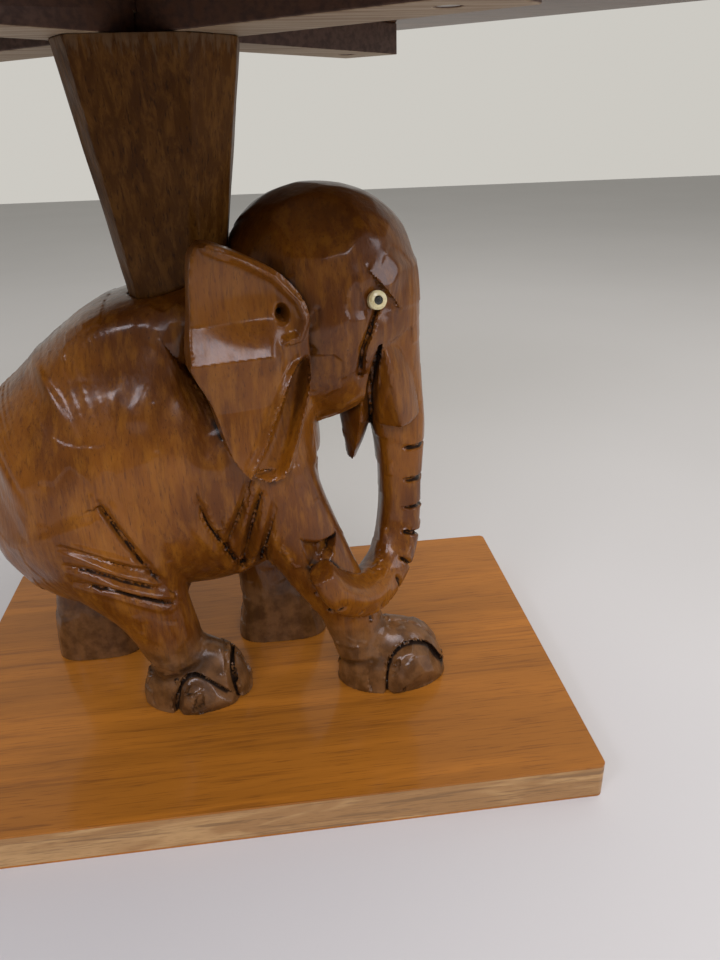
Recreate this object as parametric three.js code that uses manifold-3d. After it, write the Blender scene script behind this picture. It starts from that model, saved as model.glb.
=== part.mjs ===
// A low table carried by a carved wooden elephant. The elephant stands on a veneered board, a tapered
// post rises from its back, and two halved battens on the post carry a square veneered top.
// Millimetres, +Z up. The origin is on the floor, under the axis of the post. The elephant faces +X.
import * as THREE from "three";
import { LoftGeometry } from "three/addons/geometries/LoftGeometry.js";
import { mergeVertices } from "three/addons/utils/BufferGeometryUtils.js";
import Module from "manifold-3d";

// Driving dimensions
const BOARD_THICKNESS = 18;
const BASE_LENGTH = 304;
const BASE_WIDTH = 208;
const BASE_CENTRE_X = 20;
const TOP_SIDE = 372;
const TOP_TURN = THREE.MathUtils.degToRad(-42);
const VENEER = 1;
const LIPPING = 6;
const BOARD_CORNER = 3;
const BATTEN_LENGTH = 306;
const BATTEN_WIDTH = 33;
const BATTEN_HEIGHT = 14;
const POST_TOP_Z = 308;
const POST_TOP_HALF = 36;
const POST_FOOT_HALF = 20.5;
const POST_FOOT_Z = 212;
const SEAT_SLOPE = THREE.MathUtils.degToRad(16);
const SEAT_Z = 217.5;
const EYE_RADIUS = 3.9;
const PUPIL_RADIUS = 1.75;
const EYE_DEPTH = 3;
const DOWEL_RADIUS = 6;
const DOWEL_LENGTH = 44;
const GAP = 0.3;
const GLUE_LINE = 0.1;
const RING_SIDES = 18;
const END_DEPTH = 0.3;

const BATTEN_TOP_Z = POST_TOP_Z + BATTEN_HEIGHT;

const FINISHES = {
  carvedWood: { color: 0x5e2f14, roughness: 0.32, metalness: 0 },
  postWood: { color: 0x54290f, roughness: 0.34, metalness: 0 },
  veneer: { color: 0xa5602c, roughness: 0.4, metalness: 0 },
  lipping: { color: 0xb08a5c, roughness: 0.55, metalness: 0 },
  core: { color: 0xb79a72, roughness: 0.85, metalness: 0 },
  batten: { color: 0x5b3a26, roughness: 0.6, metalness: 0 },
  dowel: { color: 0xc3a06c, roughness: 0.7, metalness: 0 },
  eyeBone: { color: 0xe6e0b8, roughness: 0.45, metalness: 0 },
  pupil: { color: 0x262722, roughness: 0.3, metalness: 0 },
  steel: { color: 0x9a9a98, roughness: 0.35, metalness: 1 },
};

const wasm = await Module();
wasm.setup();

// Solids

function solidFrom(geometry) {
  const bare = new THREE.BufferGeometry();
  bare.setAttribute("position", geometry.attributes.position);
  bare.setIndex(geometry.index);
  const merged = mergeVertices(bare, 1e-4);
  return new wasm.Manifold(
    new wasm.Mesh({
      numProp: 3,
      vertProperties: merged.attributes.position.array,
      triVerts: new Uint32Array(merged.index.array),
    }),
  );
}

function geometryFrom(solid) {
  const mesh = solid.getMesh();
  const geometry = new THREE.BufferGeometry();
  geometry.setAttribute("position", new THREE.BufferAttribute(mesh.vertProperties, 3));
  geometry.setIndex(new THREE.BufferAttribute(mesh.triVerts, 1));
  geometry.computeVertexNormals();
  return geometry;
}

function joined(solids) {
  return solids.reduce((all, solid) => all.add(solid));
}

function boxSolid([x0, y0, z0], [x1, y1, z1]) {
  const geometry = new THREE.BoxGeometry(x1 - x0, y1 - y0, z1 - z0);
  geometry.translate((x0 + x1) / 2, (y0 + y1) / 2, (z0 + z1) / 2);
  return solidFrom(geometry);
}

// A solid of revolution about +Z: the profile runs up from the axis and back to it, as [radius, height].
function turned(profile, sides) {
  const points = profile.map(([radius, height]) => new THREE.Vector2(radius, height));
  return new THREE.LatheGeometry(points, sides).rotateX(Math.PI / 2);
}

function turnedSolid(profile, sides, x, y, z) {
  return solidFrom(turned(profile, sides).translate(x, y, z));
}

// A limb: rings along a path. A station is [x, y, z, radius in the path's own plane, radius to the side],
// with x counted from the middle of the base. Each end is rounded off by shrinking rings.
function limb(stations, sides = RING_SIDES) {
  const rounding = [0.25, 0.7, 1.2];
  const rows = [];
  const last = stations.length - 1;
  const tangentAt = (i) => {
    const a = stations[Math.max(i - 1, 0)];
    const b = stations[Math.min(i + 1, last)];
    return new THREE.Vector3(b[0] - a[0], b[1] - a[1], b[2] - a[2]).normalize();
  };
  const addRing = ([x, y, z, reach, side], tangent, shift, scale) => {
    const across = new THREE.Vector3(0, 1, 0);
    across.addScaledVector(tangent, -across.dot(tangent)).normalize();
    const up = new THREE.Vector3().crossVectors(across, tangent);
    const centre = new THREE.Vector3(x + BASE_CENTRE_X, y, z).addScaledVector(tangent, shift);
    const ring = [];
    for (let k = 0; k < sides; k += 1) {
      const angle = (k / sides) * 2 * Math.PI;
      const point = centre.clone();
      point.addScaledVector(up, Math.cos(angle) * reach * scale);
      point.addScaledVector(across, Math.sin(angle) * side * scale);
      ring.push(point);
    }
    rows.push(ring);
  };
  for (const turn of rounding) {
    const reach = Math.min(stations[0][3], stations[0][4]);
    addRing(stations[0], tangentAt(0), -reach * END_DEPTH * Math.cos(turn), Math.sin(turn));
  }
  stations.forEach((station, i) => addRing(station, tangentAt(i), 0, 1));
  for (const turn of [...rounding].reverse()) {
    const reach = Math.min(stations[last][3], stations[last][4]);
    addRing(stations[last], tangentAt(last), reach * END_DEPTH * Math.cos(turn), Math.sin(turn));
  }
  return solidFrom(new LoftGeometry(rows, { capStart: true, capEnd: true }));
}

function ellipsoid([x, y, z], [rx, ry, rz], widthSegments = 20, heightSegments = 12) {
  const geometry = new THREE.SphereGeometry(1, widthSegments, heightSegments);
  geometry.scale(rx, ry, rz);
  geometry.translate(x + BASE_CENTRE_X, y, z);
  return solidFrom(geometry);
}

// The carving

const BODY = [
  [-110, 0, 107, 15, 13],
  [-104, 0, 113, 34, 28],
  [-89, 0, 119, 50, 40],
  [-70, 0, 128, 60, 46],
  [-45, 0, 138, 68, 48],
  [-18, 0, 145, 70, 48],
  [3, 0, 152, 60, 43],
  [16, 0, 162, 31, 36],
];
const NECK = [
  [36, 0, 202, 28, 34],
  [30, 0, 182, 19, 32],
  [25, 0, 163, 15, 31],
  [22, 0, 146, 15, 30],
];
// The flat-topped rise that the post is let into.
const SADDLE = [
  [-66, 0, 182, 14, 26],
  [-50, 0, 194.5, 18, 31],
  [-34, 0, 199.3, 19, 34],
  [-22, 0, 201, 19, 34],
  [-11, 0, 204.3, 19, 33],
  [5, 0, 210, 19, 31],
  [22, 0, 216, 18, 28],
];
const HEAD = [
  [41, 0, 252, 18, 15],
  [41, 0, 247, 28, 24],
  [42, 0, 237, 36, 31],
  [43, 0, 220, 42, 36],
  [43, 0, 202, 44, 37],
  [48, 0, 184, 39, 33],
  [56, 0, 170, 30, 26],
];
const TRUNK = [
  [59, 0, 214, 22, 24],
  [63.5, 0, 200, 22, 22.5],
  [67.3, 0, 186, 19, 20.5],
  [72, 0, 168, 15.5, 16],
  [76, 0, 148, 12.5, 13.5],
  [77, 0, 122, 10.5, 13],
  [76, -2, 98, 10.5, 12],
  [71.2, -9, 80.2, 10, 12],
  [63.8, -18, 72.7, 9.5, 11.5],
  [55.5, -29, 71.6, 9, 11],
  [47.4, -39, 76.2, 8.5, 10],
  [39.6, -45.5, 84.5, 7.5, 9],
  [33.8, -48, 95, 6, 7.5],
];
const JAW = [
  [60, 0, 186, 5, 20],
  [58, 0, 174, 8, 20],
  [56.8, 0, 161, 8.5, 17],
  [56, 0, 151, 6.5, 12.5],
  [55, 0, 141, 4.5, 8],
  [53.6, 0, 131, 2, 3.5],
];
const LEGS = {
  nearFront: [
    [7, -25, 156, 23, 20],
    [18, -27, 122, 20.5, 19],
    [33, -26, 88, 17, 14],
    [46, -25, 61, 14, 12.5],
    [53, -25, 38, 14, 13.5],
  ],
  nearRear: [
    [-66, -26, 126, 38, 22],
    [-56, -28, 98, 28, 20],
    [-46, -28, 72, 18, 16],
    [-38, -27, 44, 14, 14],
  ],
  farFront: [
    [3, 25, 150, 21, 20],
    [6, 27, 118, 20, 18],
    [5, 27, 84, 16, 15],
    [5, 26, 46, 14, 14],
  ],
  farRear: [
    [-74, 26, 122, 34, 22],
    [-82, 28, 92, 24, 19],
    [-90, 28, 64, 16, 15],
    [-91, 26, 44, 14, 14],
  ],
};
const FEET = {
  nearFront: [68, -25, 28, 18.5],
  nearRear: [-31, -25, 27, 18],
  farFront: [13, 25, 26, 17.5],
  farRear: [-87, 25, 24, 17.5],
};
const FOOT_RISE = 33;
const TUSK = [
  [65, 15, 198, 6, 12],
  [68.5, 16, 184, 9, 12],
  [71.5, 15.5, 168, 10, 11.5],
  [74, 14.5, 155, 9.5, 10],
];
const EAR_OUTLINE = [
  [-5.5, 241],
  [7.5, 236],
  [20.5, 228.5],
  [29.5, 218.5],
  [32.5, 210],
  [32, 200],
  [31.8, 190],
  [29.5, 177],
  [26, 165],
  [21.5, 152],
  [14, 145],
  [4, 147.5],
  [-4, 158],
  [-9.5, 180],
  [-16, 196.5],
  [-13, 218],
  [-11, 234],
];
const EAR_THICKNESS = 9;
const EAR_TURN = THREE.MathUtils.degToRad(14);
const EAR_FRONT_Y = 34;
const EAR_BEVEL = 1.5;
const FAR_EAR_DROP = 9;
const EYE = { x: 63, y: 33, z: 213 };
const EYE_NORMAL = new THREE.Vector3(0.2, 0.96, 0.18).normalize();

function mirrored(stations) {
  return stations.map(([x, y, z, ...rest]) => [x, -y, z, ...rest]);
}

// One ear: a flat plate on the side of the head, with its rear edge standing off the neck.
function earSolid(side) {
  const points = EAR_OUTLINE.map(([x, z]) => new THREE.Vector2(x, z));
  const outline = new THREE.Shape(points);
  const geometry = new THREE.ExtrudeGeometry(outline, {
    depth: EAR_THICKNESS,
    bevelEnabled: true,
    bevelSize: EAR_BEVEL,
    bevelOffset: -EAR_BEVEL,
    bevelThickness: EAR_BEVEL,
    bevelSegments: 1,
    steps: 1,
  });
  const hingeX = 36;
  geometry.rotateX(Math.PI / 2);
  geometry.translate(-hingeX, 0, 0);
  geometry.rotateZ(EAR_TURN);
  geometry.translate(hingeX + BASE_CENTRE_X, 0, 0);
  geometry.translate(0, -EAR_FRONT_Y, 0);
  if (side > 0) {
    geometry.scale(1, -1, 1);
    geometry.translate(0, 0, -FAR_EAR_DROP);
    flipWinding(geometry);
  }
  return solidFrom(geometry);
}

function flipWinding(geometry) {
  const position = geometry.attributes.position;
  for (let i = 0; i < position.count; i += 3) {
    const a = new THREE.Vector3().fromBufferAttribute(position, i);
    const b = new THREE.Vector3().fromBufferAttribute(position, i + 1);
    position.setXYZ(i, b.x, b.y, b.z);
    position.setXYZ(i + 1, a.x, a.y, a.z);
  }
}

function eyePlacement(side) {
  const normal = EYE_NORMAL.clone();
  normal.y *= side;
  const centre = new THREE.Vector3(EYE.x + BASE_CENTRE_X, EYE.y * side, EYE.z);
  const turn = new THREE.Quaternion().setFromUnitVectors(new THREE.Vector3(0, 0, 1), normal);
  return new THREE.Matrix4().compose(centre, turn, new THREE.Vector3(1, 1, 1));
}

function eyeSocket(side) {
  const radius = EYE_RADIUS + GAP;
  const geometry = turned([[0, -EYE_DEPTH - GAP], [radius, -EYE_DEPTH - GAP], [radius, 20], [0, 20]], 24);
  return solidFrom(geometry.applyMatrix4(eyePlacement(side)));
}

function postSection(z, half, grow) {
  // Eight broad facets, the front one wider than its neighbours.
  const corners = [
    [-0.62, -1],
    [0.55, -1],
    [1, -0.52],
    [1, 0.5],
    [0.55, 1],
    [-0.5, 1],
    [-0.86, 0.5],
    [-0.86, -0.56],
  ];
  return corners.map(([x, y]) => new THREE.Vector3(x * (half + grow), y * (half + grow), z));
}

function postBlank(grow) {
  const rows = [0, 0.35, 0.75, 1].map((share) => {
    const z = POST_FOOT_Z - 30 + share * (POST_TOP_Z - POST_FOOT_Z + 30);
    const taper = Math.max(0, (z - POST_FOOT_Z) / (POST_TOP_Z - POST_FOOT_Z));
    const half = POST_FOOT_HALF + (POST_TOP_HALF - POST_FOOT_HALF) * taper;
    return postSection(z, half, grow);
  });
  return solidFrom(new LoftGeometry(rows, { capStart: true, capEnd: true }));
}

// Everything under the sloping seat of the post, shifted down by drop.
function belowSeat(drop) {
  const size = 200;
  const geometry = new THREE.BoxGeometry(size, size, size);
  geometry.translate(0, 0, -size / 2);
  geometry.rotateY(-SEAT_SLOPE);
  geometry.translate(0, 0, SEAT_Z - drop);
  return solidFrom(geometry);
}

function dowelProfile(grow, length) {
  const radius = DOWEL_RADIUS + grow;
  return [[0, -length / 2], [radius, -length / 2], [radius, length / 2], [0, length / 2]];
}

function dowelSpace() {
  return turnedSolid(dowelProfile(GAP, DOWEL_LENGTH + 2 * GAP), 20, 0, 0, SEAT_Z);
}

function elephantSolid() {
  const pieces = [limb(BODY, 24), limb(SADDLE, 22), limb(NECK, 18)];
  pieces.push(limb(HEAD, 22), limb(TRUNK, 16), limb(JAW, 12));
  for (const name of Object.keys(LEGS)) {
    pieces.push(limb(LEGS[name]));
    const [x, y, rx, ry] = FEET[name];
    pieces.push(ellipsoid([x, y, BOARD_THICKNESS], [rx, ry, FOOT_RISE]));
  }
  for (const side of [-1, 1]) {
    pieces.push(limb(side > 0 ? TUSK : mirrored(TUSK), 12));
    pieces.push(earSolid(side));
  }
  let carving = joined(pieces);
  carving = carving.subtract(boxSolid([-300, -200, -200], [300, 200, BOARD_THICKNESS]));
  carving = carving.subtract(postBlank(GAP).subtract(belowSeat(GAP)));
  carving = carving.subtract(dowelSpace());
  carving = carving.subtract(eyeSocket(-1)).subtract(eyeSocket(1));
  for (const name of Object.keys(FEET)) {
    carving = carving.subtract(screwSolid(...footCentre(name), 0, 1, FOOT_SCREW, GAP));
  }
  return carving;
}

// Screws

const FOOT_SCREW = { head: 4, shank: 2, length: 34, headHeight: 3.5 };
const TOP_SCREW = { head: 4, shank: 2, length: 26, headHeight: 3.5 };
const POST_SCREW = { head: 5, shank: 2.5, length: 60, headHeight: 4 };
const HEAD_RECESS = 0.5;

// A countersunk wood screw along Z: its head is at z, and its tip points along direction (1 up, -1 down).
function screwGeometry({ head, shank, length, headHeight }, grow) {
  const profile = [
    [0, HEAD_RECESS - grow * 4],
    [head + grow, HEAD_RECESS - grow * 4],
    [head + grow, HEAD_RECESS + 0.4],
    [shank + grow, headHeight + HEAD_RECESS],
    [shank + grow, length - 4],
    [0, length + grow],
  ];
  return turned(profile, 14);
}

function screwPlaced(x, y, z, direction, size, grow) {
  const geometry = screwGeometry(size, grow);
  if (direction < 0) geometry.rotateX(Math.PI);
  return geometry.translate(x, y, z);
}

function screwSolid(x, y, z, direction, size, grow) {
  return solidFrom(screwPlaced(x, y, z, direction, size, grow));
}

function footCentre(name) {
  const [x, y] = FEET[name];
  return [x + BASE_CENTRE_X, y];
}

// Boards

function roundedOutline(length, width, corner) {
  const x = length / 2;
  const y = width / 2;
  const shape = new THREE.Shape();
  shape.moveTo(-x + corner, -y);
  shape.lineTo(x - corner, -y);
  shape.absarc(x - corner, -y + corner, corner, -Math.PI / 2, 0, false);
  shape.lineTo(x, y - corner);
  shape.absarc(x - corner, y - corner, corner, 0, Math.PI / 2, false);
  shape.lineTo(-x + corner, y);
  shape.absarc(-x + corner, y - corner, corner, Math.PI / 2, Math.PI, false);
  shape.lineTo(-x, -y + corner);
  shape.absarc(-x + corner, -y + corner, corner, Math.PI, 1.5 * Math.PI, false);
  return shape;
}

function sheet(length, width, z0, z1) {
  const shape = roundedOutline(length, width, BOARD_CORNER);
  const geometry = new THREE.ExtrudeGeometry(shape, { depth: z1 - z0, bevelEnabled: false, curveSegments: 4 });
  return solidFrom(geometry.translate(0, 0, z0));
}

// The pieces of one veneered board, centred on its own axis, as solids by name.
function boardPieces(length, width, z0, gap) {
  const z1 = z0 + BOARD_THICKNESS;
  const low = z0 + VENEER;
  const high = z1 - VENEER;
  const x = length / 2;
  const y = width / 2;
  const rim = sheet(length, width, low, high);
  const innerX = x - LIPPING;
  const innerY = y - LIPPING;
  return {
    core: boxSolid([-innerX + gap, -innerY + gap, low], [innerX - gap, innerY - gap, high]),
    top_veneer: sheet(length, width, high, z1),
    bottom_veneer: sheet(length, width, z0, low),
    lipping_front: rim.intersect(boxSolid([-x, -y, low], [x, -innerY, high])),
    lipping_back: rim.intersect(boxSolid([-x, innerY, low], [x, y, high])),
    lipping_left: boxSolid([-x, -innerY + gap, low], [-innerX, innerY - gap, high]),
    lipping_right: boxSolid([innerX, -innerY + gap, low], [x, innerY - gap, high]),
  };
}

const group = new THREE.Group();

function addMesh(parent, name, geometry, finish) {
  const material = new THREE.MeshStandardMaterial(FINISHES[finish]);
  const mesh = new THREE.Mesh(geometry, material);
  mesh.name = name;
  parent.add(mesh);
  return mesh;
}

const BOARD_FINISH = { core: "core", top_veneer: "veneer", bottom_veneer: "veneer" };

function addBase() {
  const pieces = boardPieces(BASE_LENGTH, BASE_WIDTH, 0, 0);
  const holes = Object.keys(FEET).map((name) => {
    const [x, y] = footCentre(name);
    return screwSolid(x - BASE_CENTRE_X, y, 0, 1, FOOT_SCREW, GAP);
  });
  for (const [piece, solid] of Object.entries(pieces)) {
    const drilled = holes.reduce((rest, hole) => rest.subtract(hole), solid);
    const mesh = addMesh(group, "base_" + piece, geometryFrom(drilled), BOARD_FINISH[piece] || "lipping");
    mesh.position.x = BASE_CENTRE_X;
  }
  for (const name of Object.keys(FEET)) {
    const nodeName = "foot_screw_" + name.replace(/[A-Z]/g, (letter) => "_" + letter.toLowerCase());
    addMesh(group, nodeName, screwPlaced(...footCentre(name), 0, 1, FOOT_SCREW, 0), "steel");
  }
}

function addCarving() {
  addMesh(group, "elephant", geometryFrom(elephantSolid()), "carvedWood");
  for (const [side, label] of [[-1, "near"], [1, "far"]]) {
    const place = eyePlacement(side);
    const ring = turned([
      [PUPIL_RADIUS + GLUE_LINE, -EYE_DEPTH],
      [EYE_RADIUS, -EYE_DEPTH],
      [EYE_RADIUS, 0.6],
      [EYE_RADIUS - 0.9, 1.2],
      [PUPIL_RADIUS + GLUE_LINE, 1.5],
      [PUPIL_RADIUS + GLUE_LINE, -EYE_DEPTH],
    ], 28);
    const pupil = turned([
      [0, -EYE_DEPTH],
      [PUPIL_RADIUS, -EYE_DEPTH],
      [PUPIL_RADIUS, 1.3],
      [PUPIL_RADIUS * 0.6, 1.7],
      [0, 1.85],
    ], 20);
    addMesh(group, "eye_ring_" + label, ring.applyMatrix4(place), "eyeBone");
    addMesh(group, "pupil_" + label, pupil.applyMatrix4(place), "pupil");
  }
}

function addPost() {
  const screw = screwSolid(0, 0, BATTEN_TOP_Z, -1, POST_SCREW, GAP);
  const post = postBlank(0).subtract(belowSeat(0)).subtract(dowelSpace()).subtract(screw);
  addMesh(group, "post", geometryFrom(post), "postWood");
  const dowel = turned(dowelProfile(0, DOWEL_LENGTH), 20).translate(0, 0, SEAT_Z);
  addMesh(group, "post_dowel", dowel, "dowel");
}

const topGroup = new THREE.Group();
topGroup.rotation.z = TOP_TURN;
group.add(topGroup);

const TOP_SCREW_REACH = BATTEN_LENGTH / 2 - 22;

function addBattens() {
  const halfLength = BATTEN_LENGTH / 2;
  const halfWidth = BATTEN_WIDTH / 2;
  const middle = POST_TOP_Z + BATTEN_HEIGHT / 2;
  const lap = halfWidth + GAP;
  const along = boxSolid([-halfLength, -halfWidth, POST_TOP_Z], [halfLength, halfWidth, BATTEN_TOP_Z]);
  const across = boxSolid([-halfWidth, -halfLength, POST_TOP_Z], [halfWidth, halfLength, BATTEN_TOP_Z]);
  const upperLap = boxSolid([-lap, -lap, middle], [lap, lap, BATTEN_TOP_Z + 1]);
  const lowerLap = boxSolid([-lap, -lap, POST_TOP_Z - 1], [lap, lap, middle]);
  const post = screwSolid(0, 0, BATTEN_TOP_Z, -1, POST_SCREW, GAP);
  const holesAt = (spots) => joined(spots.map(([x, y]) => screwSolid(x, y, POST_TOP_Z, 1, TOP_SCREW, GAP)));
  const reach = TOP_SCREW_REACH;
  const alongHoles = holesAt([[-reach, 0], [reach, 0]]);
  const acrossHoles = holesAt([[0, -reach], [0, reach]]);
  const alongDone = along.subtract(upperLap).subtract(post).subtract(alongHoles);
  const acrossDone = across.subtract(lowerLap).subtract(post).subtract(acrossHoles);
  addMesh(topGroup, "batten_lower", geometryFrom(alongDone), "batten");
  addMesh(topGroup, "batten_upper", geometryFrom(acrossDone), "batten");
}

function addTop() {
  const pieces = boardPieces(TOP_SIDE, TOP_SIDE, BATTEN_TOP_Z, GLUE_LINE);
  const reach = TOP_SCREW_REACH;
  const spots = [[-reach, 0], [reach, 0], [0, -reach], [0, reach]];
  const holes = spots.map(([x, y]) => screwSolid(x, y, POST_TOP_Z, 1, TOP_SCREW, GAP));
  for (const [piece, solid] of Object.entries(pieces)) {
    const drilled = holes.reduce((rest, hole) => rest.subtract(hole), solid);
    addMesh(topGroup, "table_" + piece, geometryFrom(drilled), BOARD_FINISH[piece] || "lipping");
  }
  spots.forEach(([x, y], i) => {
    addMesh(topGroup, "batten_screw_" + (i + 1), screwPlaced(x, y, POST_TOP_Z, 1, TOP_SCREW, 0), "steel");
  });
  addMesh(topGroup, "post_screw", screwPlaced(0, 0, BATTEN_TOP_Z, -1, POST_SCREW, 0), "steel");
}

addBase();
addCarving();
addPost();
addBattens();
addTop();

export default group;
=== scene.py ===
import math

import bpy
import numpy as np
from mathutils import Matrix, Vector


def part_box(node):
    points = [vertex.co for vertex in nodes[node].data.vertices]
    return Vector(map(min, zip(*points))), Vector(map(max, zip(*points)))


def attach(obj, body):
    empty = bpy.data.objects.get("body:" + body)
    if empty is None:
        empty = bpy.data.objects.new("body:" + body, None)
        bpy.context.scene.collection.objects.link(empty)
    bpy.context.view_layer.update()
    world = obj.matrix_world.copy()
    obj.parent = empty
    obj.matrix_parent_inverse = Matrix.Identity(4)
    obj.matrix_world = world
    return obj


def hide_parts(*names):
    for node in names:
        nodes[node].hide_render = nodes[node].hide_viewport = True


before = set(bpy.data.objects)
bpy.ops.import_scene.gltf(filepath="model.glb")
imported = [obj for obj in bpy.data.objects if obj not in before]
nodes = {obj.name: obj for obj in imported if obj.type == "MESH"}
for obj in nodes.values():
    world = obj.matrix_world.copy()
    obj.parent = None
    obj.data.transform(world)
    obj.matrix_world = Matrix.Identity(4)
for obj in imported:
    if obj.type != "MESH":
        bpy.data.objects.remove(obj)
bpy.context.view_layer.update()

# Everything carved is worked out in millimetres, with x counted from the middle of the base board.
MM = 0.001
base_low, base_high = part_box("base_top_veneer")
BASE_CENTRE_X = (base_low.x + base_high.x) / 2 / MM
BASE_TOP = base_high.z / MM
FAR = 40.0
CARVING_STEP = 0.85
POST_STEP = 1.0


# ---------------------------------------------------------------- signed distances

def smooth_path(stations, steps):
    """Catmull-Rom points through the stations."""
    rows = np.array(stations, float)
    ends = np.vstack([2 * rows[0] - rows[1], rows, 2 * rows[-1] - rows[-2]])
    out = []
    for i in range(len(rows) - 1):
        p0, p1, p2, p3 = ends[i:i + 4]
        for t in np.arange(steps) / steps:
            out.append(catmull(p0, p1, p2, p3, t))
    return np.array(out + [rows[-1]])


def catmull(p0, p1, p2, p3, t):
    return 0.5 * (2 * p1 + (p2 - p0) * t + (2 * p0 - 5 * p1 + 4 * p2 - p3) * t * t
                  + (3 * p1 - p0 - 3 * p2 + p3) * t ** 3)


def rounded(outline, steps=4):
    """A closed outline rounded through its points."""
    pts = np.array(outline, float)
    n = len(pts)
    out = []
    for i in range(n):
        p0, p1, p2, p3 = (pts[(i + k - 1) % n] for k in range(4))
        out += [catmull(p0, p1, p2, p3, t) for t in np.arange(steps) / steps]
    return out


def limb(points, stations, square=2.0, steps=8):
    """A limb along stations of [x, y, z, radius in the path's plane, radius to the side].
    square is the power of its section: 2 an ellipse, more is boxier, less is a diamond."""
    path = smooth_path(stations, steps)
    centre, radii = path[:, :3], path[:, 3:]
    tangent = np.gradient(centre, axis=0)
    step = np.linalg.norm(tangent, axis=1, keepdims=True)
    tangent /= step
    growth = np.gradient(radii, axis=0) / step
    across = np.array([0, 1.0, 0]) - tangent[:, 1:2] * tangent
    across /= np.linalg.norm(across, axis=1, keepdims=True)
    up = np.cross(across, tangent)
    reach = radii.max() + 14
    inside = np.all((points > centre.min(0) - reach) & (points < centre.max(0) + reach), axis=1)
    near = points[inside]
    pick = ((centre ** 2).sum(1) / 2 - near @ centre.T).argmin(1)
    v = near - centre[pick]
    along = (v * tangent[pick]).sum(1)
    over = np.where(pick == 0, np.minimum(along, 0), np.where(pick == len(path) - 1, np.maximum(along, 0), 0))
    r, s = np.maximum(radii[pick] + growth[pick] * (along - over)[:, None], 0.3).T
    parts = [((v * up[pick]).sum(1), r), ((v * across[pick]).sum(1), s), (over, np.minimum(r, s) * 0.3)]
    parts = [(np.abs(value) + 1e-6, radius) for value, radius in parts]
    k = sum((value / radius) ** square for value, radius in parts) ** (1 / square)
    slope = sum((value ** (square - 1) / radius ** square) ** 2 for value, radius in parts)
    slope = k ** (1 - square) * np.sqrt(slope) + 1e-6
    out = np.full(len(points), FAR)
    out[inside] = (k - 1) / slope
    return out


def ellipsoid(points, centre, radii):
    v = points - np.array(centre, float)
    r = np.array(radii, float)
    k0 = np.sqrt(((v / r) ** 2).sum(1))
    k1 = np.sqrt(((v / r ** 2) ** 2).sum(1)) + 1e-6
    return k0 * (k0 - 1) / k1


def blend(a, b, k):
    """Union with a fillet of about k."""
    h = np.maximum(k - np.abs(a - b), 0) / k
    return np.minimum(a, b) - h * h * k / 4


def cut(a, b, k=0.6):
    """What is inside both, with its edges eased by about k."""
    return -blend(-a, -b, k)


def plane(points, through, normal):
    n = np.array(normal, float)
    return (points - np.array(through, float)) @ (n / np.linalg.norm(n))


def ramp(value, low, high):
    t = np.clip((value - low) / (high - low), 0, 1)
    return t * t * (3 - 2 * t)


def hump(distance, width):
    """1 on a line, falling to 0 at width from it."""
    return ramp(distance, width, 0)


def line_distance(u, w, line):
    """Distance in a plane to an open line, how far along it (0 to 1), and its side (1 is its left)."""
    pts = np.array(line, float)
    best = np.full(len(u), 1e9)
    share = np.zeros(len(u))
    side = np.ones(len(u))
    for i, (a, b) in enumerate(zip(pts[:-1], pts[1:])):
        ex, ey = b - a
        t = np.clip(((u - a[0]) * ex + (w - a[1]) * ey) / (ex * ex + ey * ey), 0, 1)
        d = (u - a[0] - t * ex) ** 2 + (w - a[1] - t * ey) ** 2
        closer = d < best
        best = np.where(closer, d, best)
        share = np.where(closer, (i + t) / (len(pts) - 1), share)
        side = np.where(closer, np.sign(ex * (w - a[1]) - ey * (u - a[0])), side)
    return np.sqrt(best), share, side


def outline_distance(u, w, outline):
    """Signed distance in a plane to a closed outline."""
    pts = np.array(outline, float)
    best = np.full(len(u), 1e9)
    sign = np.ones(len(u))
    for a, b in zip(pts, np.roll(pts, -1, 0)):
        ex, ey = b - a
        t = np.clip(((u - a[0]) * ex + (w - a[1]) * ey) / (ex * ex + ey * ey + 1e-12), 0, 1)
        best = np.minimum(best, (u - a[0] - t * ex) ** 2 + (w - a[1] - t * ey) ** 2)
        crossing = ((a[1] > w) != (b[1] > w)) & (u < ex * (w - a[1]) / (ey or 1e-9) + a[0])
        sign = np.where(crossing, -sign, sign)
    return np.sqrt(best) * sign


def near_side(points):
    """Both sides folded on to the near one."""
    q = points.copy()
    q[:, 1] = -np.abs(q[:, 1])
    return q


# ---------------------------------------------------------------- the elephant's form

RUMP = ((-66, 0, 118), (52, 45, 52))
BODY = [(-80, 0, 123, 55, 43), (-70, 0, 128, 60, 46), (-45, 0, 138, 68, 48), (-18, 0, 145, 70, 48),
        (3, 0, 152, 60, 43), (16, 0, 162, 31, 36)]
# The front of the chest: a point on it and its facing.
CHEST_PLANE = ((37.5, 0, 135), (0.95, 0, -0.3))
NECK = [(36, 0, 202, 28, 34), (30, 0, 182, 19, 32), (25, 0, 163, 15, 31), (22, 0, 146, 15, 30)]
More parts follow.
